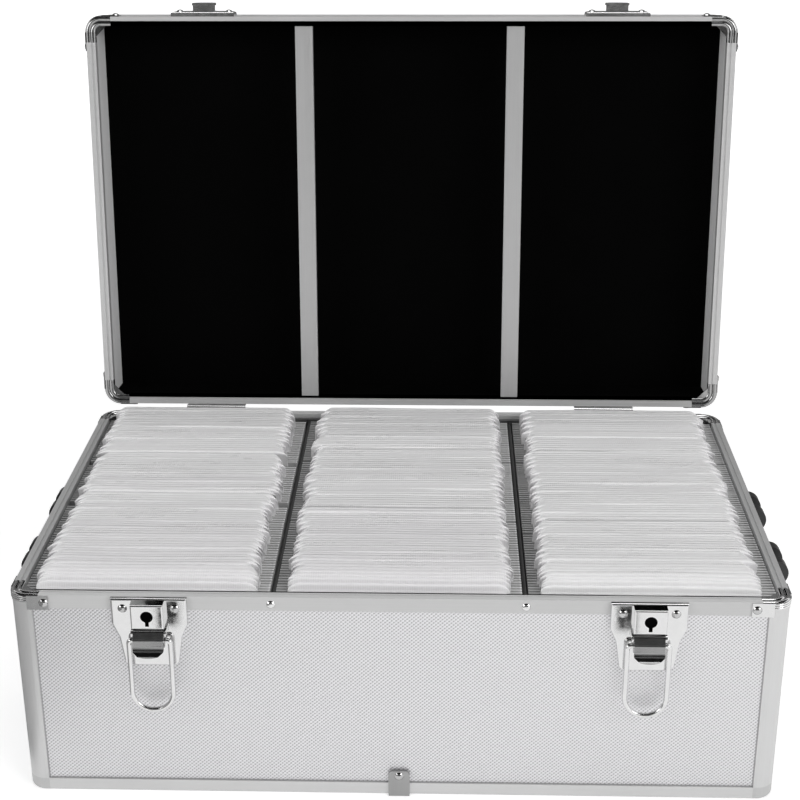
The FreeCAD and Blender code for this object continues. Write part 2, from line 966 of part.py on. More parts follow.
def hinge_lid_leaf():
    half = hinge_width / 2
    middle = hinge_middle_width / 2
    clear = box_height + hinge_barrel_radius + hinge_swing_play
    high = box_height + hinge_leaf_length
    plate = block((-half, half), (-hinge_leaf_sheet, 0), (clear, high))
    pad = block((-half, half), (0, profile_wall), (lid_rim_z + rim_flange + edge_gap, high))
    barrel = hinge_barrel(-middle, middle)
    neck = block((-middle, middle), (-hinge_leaf_sheet, -hinge_swing_play), (box_height, clear))
    return single(joined(plate, pad, barrel, neck).cut(hinge_bore()))


def hinge_pin():
    half = hinge_width / 2
    start = vec(-half, -hinge_axis_rise, box_height)
    end = vec(half, -hinge_axis_rise, box_height)
    return rod(hinge_pin_radius, start, end)


# Side handles, in a wall frame


def handle_bore(radius):
    half = handle_half_span + handle_mount_width
    start = vec(-half, -handle_pivot_rise, handle_z)
    return rod(radius, start, vec(half, -handle_pivot_rise, handle_z))


def handle_mount():
    """A base plate with two cheeks round the grip's arm, centred at X = 0."""
    half = handle_mount_width / 2
    slot = handle_arm_width / 2 + handle_arm_play
    top = box_height - handle_base_drop
    bottom = top - handle_mount_height
    face = profile_wall - handle_mount_base
    nose = handle_nose_radius
    pivot = vec(-half, -handle_pivot_rise, handle_z)
    outline = loop(
        vec(-half, profile_wall, bottom),
        vec(-half, profile_wall, top),
        vec(-half, face, top),
        vec(-half, -handle_pivot_rise, handle_z + nose),
        (pivot - Y_AXIS * nose, vec(-half, -handle_pivot_rise, handle_z - nose)),
        vec(-half, face, bottom),
    )
    body = prism(outline, vec(handle_mount_width, 0, 0))
    room = block(
        (-slot, slot),
        (-handle_pivot_rise - nose - overrun, face),
        (bottom - overrun, top + overrun),
    )
    return single(body.cut([room, handle_bore(handle_pin_radius + pin_play)]))


def handle_grip():
    """A loop of two arms and a bar, hanging from its pins."""
    half = handle_half_span + handle_arm_width / 2
    inner = handle_half_span - handle_arm_width / 2
    bottom = handle_z - handle_drop
    thick = handle_arm_thickness / 2
    front = -handle_pivot_rise - thick
    bend = vec(half - handle_corner_radius, front, bottom + handle_corner_radius)
    other = vec(-bend.x, front, bend.z)
    bar_top = bottom + handle_bar_height
    outline = loop(
        vec(-half, front, handle_z),
        vec(-half, front, other.z),
        (
            arc_point(other, handle_corner_radius, QUARTER / 2, -X_AXIS, -Z_AXIS),
            vec(other.x, front, bottom),
        ),
        vec(bend.x, front, bottom),
        (
            arc_point(bend, handle_corner_radius, QUARTER / 2, X_AXIS, -Z_AXIS),
            vec(half, front, bend.z),
        ),
        vec(half, front, handle_z),
        vec(inner, front, handle_z),
        vec(inner, front, bar_top),
        vec(-inner, front, bar_top),
        vec(-inner, front, handle_z),
    )
    body = prism(outline, vec(0, handle_arm_thickness, 0))
    long_edges = []
    for edge in body.Edges:
        points = edge.Vertexes
        low = min(v.Z for v in points)
        if low < bar_top + edge_gap and abs(points[0].Y - points[-1].Y) < edge_gap:
            if max(v.Z for v in points) < handle_z - handle_arm_thickness:
                long_edges.append(edge)
    body = body.makeFillet(handle_edge_radius, long_edges)
    eye = rod(thick, vec(-half, -handle_pivot_rise, handle_z), vec(-inner, -handle_pivot_rise, handle_z))
    eyes = [eye, eye.mirror(ORIGIN, X_AXIS)]
    return single(joined(body, *eyes).cut(handle_bore(handle_pin_radius + pin_play)))


def handle_pin():
    half = handle_mount_width / 2
    start = vec(-half, -handle_pivot_rise, handle_z)
    return rod(handle_pin_radius, start, vec(half, -handle_pivot_rise, handle_z))


# Inside of the lid, in the tray's frame before it is turned over


def lid_lining():
    """Three glued sheets: on the top board, the front wall and the back wall."""
    half = case_width / 2 - wall
    deep = case_depth / 2 - wall
    low = wall + lining_thickness
    top = lid_height - rim_inner_leg - edge_gap
    sheet = block((-half, half), (-deep, deep), (wall, low))
    front = block((-half, half), (-deep, lining_thickness - deep), (low, top))
    back = block((-half, half), (deep - lining_thickness, deep), (low, top))
    return [sheet, front, back]


def lid_liner():
    """A bare strip on a side wall of the lid, in a wall frame."""
    half = case_depth / 2 - wall - lining_thickness
    top = lid_height - rim_inner_leg - edge_gap
    return block((-half, half), (wall, wall + liner_thickness), (wall + lining_thickness, top))


def lid_bar():
    """A shallow channel along Y between the rim's inner legs."""
    half = lid_bar_width / 2
    long = case_depth / 2 - rim_width - lid_bar_end_gap
    top = lid_height - lid_bar_inset
    foot = top - lid_bar_depth
    outer = block((-half, half), (-long, long), (foot, top))
    inner = block(
        (lid_bar_sheet - half, half - lid_bar_sheet),
        (-long - overrun, long + overrun),
        (foot - overrun, top - lid_bar_sheet),
    )
    return single(outer.cut(inner))


# The pieces by name


def box_pieces():
    divider = row_pitch / 2
    rivets = []
    for x in (-latch_offset, latch_offset):
        for way in (-latch_rivet_offset, latch_rivet_offset):
            head = rivet(x + way, latch_rise, box_height - latch_rivet_drop)
            rivets.append(on_wall(head, "front"))
    for x in (-hinge_offset, hinge_offset):
        for way in (-hinge_rivet_offset, hinge_rivet_offset):
            head = rivet(x + way, hinge_leaf_sheet, box_height - hinge_rivet_drop)
            rivets.append(on_wall(head, "back"))
    tab_x = post_radius + corner_tab_length - rivet_radius - edge_gap
    tab_z = box_height - corner_tab_drop - corner_tab_height / 2
    for side in SIDES:
        for way in (-1, 1):
            head = rivet(way * (wall_length(side) / 2 - tab_x), corner_tab_thickness, tab_z)
            rivets.append(on_wall(head, side))
    for side in ("front", "back"):
        rivets.append(on_wall(rivet(0, clip_wall, clip_height - clip_rivet_drop), side))
    brackets = both_ways(rail_bracket(), divider)
    screws = both_ways(rail_screw(), divider)
    return {
        "front_panel": [screwed(tray_wall("front", box_height))],
        "back_panel": [screwed(tray_wall("back", box_height))],
        "left_panel": [tray_wall("left", box_height)],
        "right_panel": [tray_wall("right", box_height)],
        "bottom_panel": [tray_floor()],
        "corner_posts": tray_posts(box_height),
        "bottom_edges": [tray_edge(side) for side in SIDES],
        "bottom_corner_caps": tray_caps(),
        "bottom_edge_clips": [on_wall(edge_clip(), side) for side in ("front", "back")],
        "box_rim_front": [screwed(tray_rim("front", box_height))],
        "box_rim_back": [screwed(tray_rim("back", box_height))],
        "box_rim_left": [tray_rim("left", box_height)],
        "box_rim_right": [tray_rim("right", box_height)],
        "box_rim_corners": tray_rim_corners(box_height),
        "box_rivets": rivets,
        "side_rails": [on_wall(side_rail(), side) for side in ("left", "right")],
        "divider_rails": both_ways(divider_rail(), divider),
        "rail_brackets": [on_wall(b, side) for b in brackets for side in ("front", "back")],
        "rail_screws": [on_wall(s, side) for s in screws for side in ("front", "back")],
    }


def hardware_pieces():
    out = {
        "lever_pins": [],
        "hinge_pins": [on_wall(p, "back") for p in both_ways(hinge_pin(), hinge_offset)],
        "hinge_box_leaves": [on_wall(p, "back") for p in both_ways(hinge_box_leaf(), hinge_offset)],
        "handle_mounts": [],
        "handle_pins": [],
    }
    for name, x in (("left", -latch_offset), ("right", latch_offset)):
        for node, make in (
            ("latch_plate", latch_plate),
            ("lock_case", lock_case),
            ("lock_cam", lock_cam),
            ("latch_lever", latch_lever),
            ("latch_bail", latch_bail),
        ):
            out[node + "_" + name] = [on_wall(moved(make(), x, 0, 0), "front")]
        out["lever_pins"].append(on_wall(moved(lever_pin(), x, 0, 0), "front"))
        out["handle_grip_" + name] = [on_wall(handle_grip(), name)]
        out["handle_mounts"] += [on_wall(m, name) for m in both_ways(handle_mount(), handle_half_span)]
        out["handle_pins"] += [on_wall(p, name) for p in both_ways(handle_pin(), handle_half_span)]
    return out


def sleeve_pieces():
    out = {}
    for row, step in (("left", -1), ("middle", 0), ("right", 1)):
        hangers, pouches = sleeve_row(row, step * row_pitch)
        out["sleeve_hangers_" + row] = hangers
        out["sleeve_pouches_" + row] = pouches
    return out


def lid_pieces():
    """Built closed on the box, then swung open."""
    tray = {
        "lid_top_panel": [tray_floor()],
        "lid_front_panel": [tray_wall("back", lid_height)],
        "lid_back_panel": [tray_wall("front", lid_height)],
        "lid_left_panel": [tray_wall("left", lid_height)],
        "lid_right_panel": [tray_wall("right", lid_height)],
        "lid_corner_posts": tray_posts(lid_height),
        "lid_top_edges": [tray_edge(side) for side in SIDES],
        "lid_corner_caps": tray_caps(),
        "lid_rims": [tray_rim(side, lid_height) for side in SIDES],
        "lid_rim_corners": tray_rim_corners(lid_height),
        "lid_lining": lid_lining(),
        "lid_side_liners": [on_wall(lid_liner(), side) for side in ("left", "right")],
        "lid_bars": both_ways(lid_bar(), row_pitch / 2),
    }
    closed = {name: [upturned(s) for s in solids] for name, solids in tray.items()}
    rivets = []
    for x in (-latch_offset, latch_offset):
        for way in (-keeper_rivet_offset, keeper_rivet_offset):
            head = rivet(x + way, latch_rise, lid_rim_z + keeper_rivet_rise)
            rivets.append(on_wall(head, "front"))
    for x in (-hinge_offset, hinge_offset):
        for way in (-hinge_rivet_offset, hinge_rivet_offset):
            head = rivet(x + way, hinge_leaf_sheet, box_height + hinge_rivet_drop)
            rivets.append(on_wall(head, "back"))
    tab_x = post_radius + corner_tab_length - rivet_radius - edge_gap
    tab_z = lid_rim_z + corner_tab_drop + corner_tab_height / 2
    for side in SIDES:
        for way in (-1, 1):
            head = rivet(way * (wall_length(side) / 2 - tab_x), corner_tab_thickness, tab_z)
            rivets.append(on_wall(head, side))
    closed["lid_rivets"] = rivets
    closed["latch_keepers"] = [on_wall(k, "front") for k in both_ways(latch_keeper(), latch_offset)]
    closed["hinge_lid_leaves"] = [on_wall(h, "back") for h in both_ways(hinge_lid_leaf(), hinge_offset)]
    return {name: [opened(s) for s in solids] for name, solids in closed.items()}


def main():
    os.makedirs("parts", exist_ok=True)
    pieces = {}
    pieces.update(box_pieces())
    pieces.update(hardware_pieces())
    pieces.update(sleeve_pieces())
    pieces.update(lid_pieces())
    for name, solids in pieces.items():
        shape = solids[0] if len(solids) == 1 else Part.makeCompound(solids)
        shape.exportStep(os.path.join("parts", name + ".step"))


main()
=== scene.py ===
import json
import math
import random
from collections import namedtuple

import bmesh
import bpy
from mathutils import Matrix, Vector


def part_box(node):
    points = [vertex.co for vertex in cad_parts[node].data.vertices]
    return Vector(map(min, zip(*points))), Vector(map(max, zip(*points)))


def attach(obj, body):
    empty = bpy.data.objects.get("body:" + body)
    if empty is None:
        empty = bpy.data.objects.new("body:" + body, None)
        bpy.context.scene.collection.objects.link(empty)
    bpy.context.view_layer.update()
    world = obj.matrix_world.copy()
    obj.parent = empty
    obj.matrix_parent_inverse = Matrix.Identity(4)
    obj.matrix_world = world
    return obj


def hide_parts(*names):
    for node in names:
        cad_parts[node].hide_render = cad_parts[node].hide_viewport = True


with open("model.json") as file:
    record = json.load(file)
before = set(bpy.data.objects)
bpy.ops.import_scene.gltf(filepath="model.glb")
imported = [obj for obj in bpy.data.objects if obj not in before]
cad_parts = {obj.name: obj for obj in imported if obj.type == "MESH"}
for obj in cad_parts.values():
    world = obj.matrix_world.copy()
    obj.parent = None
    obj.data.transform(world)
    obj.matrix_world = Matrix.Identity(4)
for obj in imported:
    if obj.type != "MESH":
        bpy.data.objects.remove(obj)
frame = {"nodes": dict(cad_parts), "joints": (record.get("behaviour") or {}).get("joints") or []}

# Storage case for discs, dressed for a studio picture. Lengths are metres unless a name says mm.

MM = 0.001
X, Y, Z = range(3)

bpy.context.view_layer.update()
nodes = frame["nodes"]
joints = {j["name"]: j for j in frame["joints"]}
lid_angle = math.radians(joints["lid_hinge"]["range_deg"][1])
hinge = Vector(joints["lid_hinge"]["pos_m"])

# Grain of the board skins, with painted shade in its hollows, and the thin painted shadow around the
# front board
grain_across_mm = 2.6
grain_rows_mm = 1.2
grain_rising = 0.6
grain_falling = 0.4
seam_side_mm = 0.7
seam_low_mm = 0.6
seam_light = 0.25

# Painted shade inside the long rims, a black strip where the gap beside them lies in shade: its
# distance from the outside, how far it stops short of the rims' ends, and how much that distance grows
# on the lid's back rim and shrinks on its front rim
box_shade_strip_inset_mm = 5.8
lid_shade_strip_inset_mm = 4.1
lid_shade_strip_shift_mm = 1.0
shade_strip_end_mm = 6.6

# Rows of sleeves
sleeve_pitch = 3.25 * MM
bunch_break = 1.2 * sleeve_pitch
bundle_sizes = (3, 7)
row_seeds = {"left": 11, "middle": 12, "right": 13}
# Row tones: the right row's higher value is painted light.
row_tones_with_painted_light = {"left": 0.2, "middle": 0.2, "right": 0.95}
row_trims = {"left": 0.0, "middle": 0.0, "right": 2.5 * MM}
bundle_tone = 0.2
sleeve_tone = 0.04

# Height of the crests in a row
crest_drop = 1.4 * MM
crest_clearance = 0.25 * MM
crest_drift = 0.6 * MM
crest_drift_step = 9
crest_bundle = 0.22 * MM
crest_jitter = 0.05 * MM
crest_back_rise = 1.1 * MM
crest_front_drop = 4.5 * MM
crest_front_fade = 0.5

# Lean of the crests to the back. A fade is what passes on from one sleeve to the next.
lean_mean = -0.6 * MM
lean_bundle = 0.2 * MM
lean_through_bundle = 0.55 * MM
lean_middle = 0.4
lean_row_front = 3.4 * MM
lean_row_front_fade = 0.55
lean_row_back = 1.0 * MM
lean_row_back_fade = 0.5
lean_bunch_front = 1.4 * MM
lean_bunch_back = 1.7 * MM
lean_bunch_fade = 0.6

# Ends of the sleeves, which are loose behind the first few
loose_from = 5
end_reach_most = 2.2 * MM
end_reach_bundle = 1.4 * MM
end_reach_jitter = 1.9 * MM
corner_radii = (0.6 * MM, 1.6 * MM)
tip_droops = (1.2 * MM, 3.6 * MM)
tip_sags = (0.8 * MM, 2.8 * MM)

# One pouch. A reach is measured from its end.
pouch_seam_reach = 6.0 * MM
pouch_flap_reach = 7.5 * MM
pouch_tip_reach = 12.0 * MM
# Painted light on the sleeve tips, against the shade that falls between them.
pouch_tip_painted_light = 0.7
pouch_fold_thickness = 4.7 * MM
pouch_body_thickness = 1.3 * MM
pouch_seam_thickness = 0.5 * MM
pouch_front_play = 0.05 * MM
pouch_neck_rise = 0.5 * MM
pouch_neck_drop = 12.0 * MM
pouch_rib_pitch_mm = 1.4
pouch_stations_mm = (0, 0.5, 1.3, 2.4, 3.8, 5.4, 7.2, 9.5, 14.0, 24.0, 38.0, 54.0)
corner_power = 1.7
bend_power = 1.5

# Section of a fold from its front to its back: share of the thickness, and depth below the crest in mm
fold_depth = 5.0 * MM
fold_section = (
    (0.00, 5.0), (0.00, 2.6), (0.00, 1.3), (0.03, 0.38), (0.16, 0.08), (0.60, 0.0),
    (0.92, 0.07), (0.99, 0.3), (1.00, 1.3), (1.00, 2.6), (1.00, 5.0),
)

Wave = namedtuple("Wave", "height length")
crest_wave = Wave(0.13 * MM, 26 * MM)
crest_ripple = Wave(0.05 * MM, 12 * MM)
sway_wave = Wave(0.3 * MM, 17 * MM)

Bundle = namedtuple("Bundle", "top lean left right tone spare")
Sleeve = namedtuple("Sleeve", "ends top front lean tone corners droops sags waves")

# Studio. Lamps shine at one point, and each flag faces the origin along one axis.
Lamp = namedtuple("Lamp", "name place size watts")
lamp_aim = Vector((0, 0, 0.15))
lamps = (
    Lamp("key", (1.8, -1.8, 1.35), (1.6, 1.2), 25),
    Lamp("fill", (-2.0, -1.7, 1.2), (1.6, 1.2), 18),
    Lamp("top", (0.1, 0.25, 2.0), (1.4, 0.8), 10.5),
)
Flag = namedtuple("Flag", "name place axis size grey")
flags = (
    Flag("flag_ceiling", (0.0, -0.8, 2.2), Z, (6.0, 5.0), 0.02),
    Flag("flag_front", (0.0, -1.7, 0.7), Y, (3.0, 1.3), 0.5),
    Flag("flag_back", (0.0, 0.8, 0.45), Y, (3.0, 0.9), 0.2),
    Flag("flag_left", (-0.26, -0.3, 0.08), X, (0.7, 0.16), 0.5),
    Flag("flag_latch_left", (-0.172, -0.335, 0.022), Y, (0.012, 0.026), 0.05),
    Flag("flag_latch_right", (0.158, -0.335, 0.022), Y, (0.012, 0.026), 0.05),
    Flag("flag_band", (0.0, -1.6, 0.66), Y, (3.0, 0.4), 0.04),
)
floor_side = 7.0
floor_fade_mm = (600, 2000)
floor_glow = (0.36, 0.8)
floor_camera_glow = 0.14
world_light = 0.30
world_seen = 1.0

# Camera, fitted to the photograph's edges, with angles in degrees
camera_place = (0.02553, -0.94358, 0.58917)
camera_turn = 1.71
camera_tilt = 67.87
camera_roll = -0.25
camera_lens_mm = 70.30
camera_sensor_mm = 36.0


# Materials


class Paint:
    """A material and short calls for its nodes."""

    def __init__(self, name):
        self.material = bpy.data.materials.new(name)
        self.material.use_nodes = True
        self.tree = self.material.node_tree
        self.shader = self.tree.nodes["Principled BSDF"]

    def node(self, kind, values=None, **settings):
        made = self.tree.nodes.new(kind)
        for key, value in settings.items():
            setattr(made, key, value)
        for key, value in (values or {}).items():
            if isinstance(value, bpy.types.NodeSocket):
                self.tree.links.new(value, made.inputs[key])
            else:
                made.inputs[key].default_value = value
        return made

    def math(self, operation, a, b=0.0):
        return self.node("ShaderNodeMath", {0: a, 1: b}, operation=operation).outputs[0]

    def split(self, vector):
        return self.node("ShaderNodeSeparateXYZ", {0: vector}).outputs

    def place(self, on_lid=False):
        """Object coordinates in millimetres, with the lid turned back to closed."""
        coords = self.node("ShaderNodeTexCoord").outputs["Object"]
        values = {"Vector": coords, "Scale": (1 / MM,) * 3}
        if on_lid:
            turn = Matrix.Rotation(lid_angle, 3, "X")
            values["Location"] = (hinge - turn @ hinge) / MM
            values["Rotation"] = (lid_angle, 0, 0)
        return self.node("ShaderNodeMapping", values).outputs[0]

    def stretched(self, place, x, y, z):
        return self.node("ShaderNodeMapping", {"Vector": place, "Scale": (x, y, z)}).outputs[0]

    def noise(self, place, scale, detail):
        values = {"Vector": place, "Scale": scale, "Detail": detail}
        return self.node("ShaderNodeTexNoise", values).outputs["Fac"]

    def remap(self, value, old, new):
        values = {"Value": value, "From Min": old[0], "From Max": old[1]}
        values.update({"To Min": new[0], "To Max": new[1]})
        return self.node("ShaderNodeMapRange", values).outputs[0]

    def spread(self, noise, low, high):
        """Brings noise, most of which lies from 0.3 to 0.7, to a range."""
        return self.remap(noise, (0.3, 0.7), (low, high))

    def tint(self, value, dark, light):
        """A colour between two greys or colours."""
        mix = self.node("ShaderNodeMix", {"Factor": value}, data_type="RGBA")
        mix.inputs["A"].default_value = colour(dark)
        mix.inputs["B"].default_value = colour(light)
        return mix.outputs["Result"]

    def bump(self, height, strength, depth_mm):
        values = {"Height": height, "Strength": strength, "Distance": depth_mm * MM}
        return self.node("ShaderNodeBump", values).outputs[0]

    def set(self, **values):
        for key, value in values.items():
            socket = self.shader.inputs[key.replace("_", " ")]
            if isinstance(value, bpy.types.NodeSocket):
                self.tree.links.new(value, socket)
            else:
                socket.default_value = value
        return self.material


def colour(value):
    if isinstance(value, (int, float)):
        return (value, value, value, 1)
    return (*value, 1)


def board_skin(name, across, up, on_lid=False, seam_shaded=False):
    """Thin aluminium pressed with rows of small diamonds, with painted shade darkening the hollows
    between them.
    """
    p = Paint(name)
    place = p.place(on_lid)
    split = p.split(place)
    u = p.math("MULTIPLY", split[across], 2 * math.pi / grain_across_mm)
    v = p.math("MULTIPLY", split[up], math.pi / grain_rows_mm)
    rising = p.math("MULTIPLY", p.math("COSINE", p.math("SUBTRACT", u, v)), grain_rising)
    falling = p.math("MULTIPLY", p.math("COSINE", p.math("ADD", u, v)), grain_falling)
    height = p.math("ADD", rising, falling)
    # Painted shade: the hollows of the pressing are painted darker, as well as shaped by the bump.
    pits = p.remap(height, (-0.95, 0.1), (0, 1))
    worn = p.noise(place, scale=0.02, detail=4)
    light = p.math("MULTIPLY", pits, p.spread(worn, 0.94, 1.0))
    # Painted shadow: a thin darker line where the front board meets the posts and the bottom edge.
    if seam_shaded:
        light = p.math("MULTIPLY", light, p.remap(seam_shadow(p, split), (0, 1), (1.0, seam_light)))
    return p.set(
        Base_Color=p.tint(light, dark=(0.40, 0.397, 0.406), light=(0.84, 0.835, 0.852)),
        Metallic=0.75,
        Roughness=p.spread(worn, 0.42, 0.5),
        Normal=p.bump(height, strength=0.55, depth_mm=0.16),
    )


def seam_shadow(p, split):
    """1 on the thin painted shadow where the front board meets the posts and the bottom edge,
    otherwise 0.
    """
    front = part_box("corner_posts")[0].y
    posts = [v.co.x for v in nodes["corner_posts"].data.vertices if v.co.y < front + MM]
    side = min(abs(x) for x in posts) / MM
    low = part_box("bottom_edges")[1].z / MM
    beside = p.math("GREATER_THAN", p.math("ABSOLUTE", split[X]), side - seam_side_mm)
    below = p.math("LESS_THAN", split[Z], low + seam_low_mm)
    return p.math("MAXIMUM", beside, below)


def satin(name, along, grey, metal, on_lid=False, shade_strip_mm=None):
    """Extruded aluminium with fine lines along its length, and on some rims a black strip of painted
    shade.
    """
    p = Paint(name)
    place = p.place(on_lid)
    lengthwise = [0.02 if axis == along else 2.2 for axis in (X, Y, Z)]
    lines = p.noise(p.stretched(place, *lengthwise), scale=1.0, detail=2)
    cloud = p.noise(place, scale=0.03, detail=3)
    shade = p.math("ADD", p.math("MULTIPLY", lines, 0.06), p.math("MULTIPLY", cloud, 0.04))
    shade = p.math("ADD", shade, grey - 0.05)
    # Painted shade: a black, non-metallic strip along the inner edge of the rim.
    if shade_strip_mm is not None:
        unshaded = p.math("SUBTRACT", 1.0, rim_shade_strip(p, place, shade_strip_mm, on_lid))
        shade = p.math("MULTIPLY", shade, unshaded)
        metal = p.math("MULTIPLY", unshaded, metal)
        p.set(Specular_IOR_Level=p.math("MULTIPLY", unshaded, 0.5))
    return p.set(
        Base_Color=p.node("ShaderNodeCombineColor", {0: shade, 1: shade, 2: shade}).outputs[0],
        Metallic=metal,
        Roughness=p.spread(lines, 0.35, 0.45),
        Normal=p.bump(lines, strength=0.12, depth_mm=0.05),
    )


def rim_shade_strip(p, place, inset, on_lid):
    """1 on the painted shade strip: where the box's front rim, or the lid's front and back rims, lie
    further in than the inset.
    """
    half_width = -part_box("box_rim_left")[0].x / MM
    half_depth = -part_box("box_rim_front")[0].y / MM
    split = p.split(place)
    across = p.math("LESS_THAN", p.math("ABSOLUTE", split[X]), half_width - shade_strip_end_mm)
    if on_lid:
        depth = p.math("ABSOLUTE", p.math("ADD", split[Y], lid_shade_strip_shift_mm))
    else:
        depth = p.math("MULTIPLY", split[Y], -1.0)
        across = p.math("MULTIPLY", across, p.math("GREATER_THAN", depth, 0.0))
    return p.math("MULTIPLY", across, p.math("LESS_THAN", depth, half_depth - inset))


def chrome(name, grey, rough):
    p = Paint(name)
    place = p.place()
    haze = p.noise(place, scale=0.25, detail=4)
    pits = p.noise(place, scale=3.0, detail=2)
    return p.set(
        Base_Color=p.tint(haze, dark=grey - 0.04, light=grey + 0.04),
        Metallic=1.0,
        Roughness=p.spread(haze, rough - 0.03, rough + 0.04),
        Normal=p.bump(pits, strength=0.05, depth_mm=0.02),
    )


def plastic(name, grey, rough, shine=0.5):
    p = Paint(name)
    place = p.place()
    grain = p.noise(place, scale=1.7, detail=2)
    cloud = p.noise(place, scale=0.08, detail=3)
    return p.set(
        Base_Color=p.tint(cloud, dark=grey * 0.8, light=grey * 1.2),
        Roughness=p.spread(cloud, rough - 0.06, rough + 0.06),
        Specular_IOR_Level=shine,
        Normal=p.bump(grain, strength=0.25, depth_mm=0.06),
    )


def rail_plastic(name):
    """Black plastic with painted light: black at the left of each rail and greyer to the right."""
    p = Paint(name)
    place = p.place()
    found = [v.co.x / MM for v in nodes["divider_rails"].data.vertices if v.co.x > 0]
    middle = (min(found) + max(found)) / 2
    half = (max(found) - min(found)) / 2
    x = p.split(place)[X]
    centre = p.remap(p.math("GREATER_THAN", x, 0.0), (0, 1), (-middle, middle))
    # Painted light: black on the rail's left side where the gap lies in shade, greyer towards its lit
    # right side.
    across = p.remap(p.math("SUBTRACT", x, centre), (-0.2 * half, 0.4 * half), (0, 1))
    grain = p.noise(place, scale=1.7, detail=2)
    return p.set(
        Base_Color=p.tint(across, dark=0.01, light=0.16),
        Roughness=p.spread(grain, 0.45, 0.55),
        Normal=p.bump(grain, strength=0.25, depth_mm=0.06),
    )


def flock(name):
    """Black lining with a short pile."""
    p = Paint(name)
    place = p.place(True)
    fibres = p.noise(place, scale=2.5, detail=3)
    cloud = p.noise(place, scale=0.02, detail=3)
    return p.set(
        Base_Color=p.tint(cloud, dark=0.0012, light=0.0022),
        Roughness=1.0,
        Specular_IOR_Level=0.02,
        Normal=p.bump(fibres, strength=0.4, depth_mm=0.2),
    )


def hanger_plastic(row):
    """Grey bars, each a little different at random, with painted shade darker to the left and a
    painted highlight on the right end.
    """
    p = Paint("hanger_" + row)
    low, high = (corner.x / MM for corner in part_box("sleeve_hangers_" + row))
    place = p.place()
    split = p.split(place)
    step = p.math("FLOOR", p.math("DIVIDE", split[Y], sleeve_pitch / MM))
    odd = p.node("ShaderNodeTexWhiteNoise", {"W": step}, noise_dimensions="1D").outputs["Value"]
    grain = p.noise(p.stretched(place, 0.1, 1, 1), scale=1.0, detail=2)
    # Painted shade towards each bar's left end and a painted highlight on its right end; odd varies
    # each bar's tone at random.
    across = p.remap(split[X], (low, high), (0.0, 0.5))
    painted_end_highlight = p.remap(split[X], (high - 1.2, high - 0.6), (0.0, 0.4))
    shade = p.math("ADD", p.math("ADD", across, painted_end_highlight), p.math("MULTIPLY", odd, 0.22))
    return p.set(
        Base_Color=p.tint(shade, dark=0.34, light=0.80),
        Roughness=p.spread(grain, 0.4, 0.5),
        Normal=p.bump(grain, strength=0.1, depth_mm=0.05),
    )


def fleece(name):
    """White non-woven with fine upright ribs and a slight shine; the ribs carry a painted sheen,
    lighter on faces towards the front and in patches.
    """
    p = Paint(name)
    place = p.place()
    wave = p.math("SINE", p.math("MULTIPLY", p.split(place)[X], 2 * math.pi / pouch_rib_pitch_mm))
    fibres = p.noise(place, scale=2.0, detail=3)
    patches = p.noise(p.stretched(place, 0.02, 0.08, 0.08), scale=1.0, detail=2)
    normal = p.split(p.node("ShaderNodeNewGeometry").outputs["Normal"])
    front = p.remap(normal[Y], (-0.5, -0.9), (0.0, 1.0))
    clear = p.math("MAXIMUM", front, p.remap(patches, (0.5, 0.64), (0.15, 1.0)))
    ribs = p.math("MULTIPLY", p.remap(wave, (-1, 1), (0, 1)), clear)
    height = p.math("ADD", p.math("MULTIPLY", ribs, 0.7), fibres)
    # The shade attribute holds each sleeve's random tone plus painted light on the tips, the back
    # sleeves and the right row.
    shade = p.node("ShaderNodeAttribute", attribute_name="shade").outputs["Fac"]
    cloud = p.noise(p.stretched(place, 0.03, 0.2, 0.1), scale=1.0, detail=3)
    mixed = p.math("ADD", p.math("MULTIPLY", shade, 0.6), p.math("MULTIPLY", cloud, 0.4))
    # Painted sheen: the ribs are painted lighter where they face the front and in patches.
    tone_and_painted_rib_sheen = p.math("ADD", mixed, p.math("MULTIPLY", ribs, 0.3))
    return p.set(
        Base_Color=p.tint(tone_and_painted_rib_sheen, dark=(0.83, 0.817, 0.833), light=(0.99, 0.976, 0.992)),
        Roughness=p.remap(patches, (0.45, 0.65), (0.42, 0.24)),
        Normal=p.bump(height, strength=0.45, depth_mm=0.16),
        Subsurface_Weight=0.7,
        Subsurface_Radius=(6 * MM, 6 * MM, 6 * MM),
    )


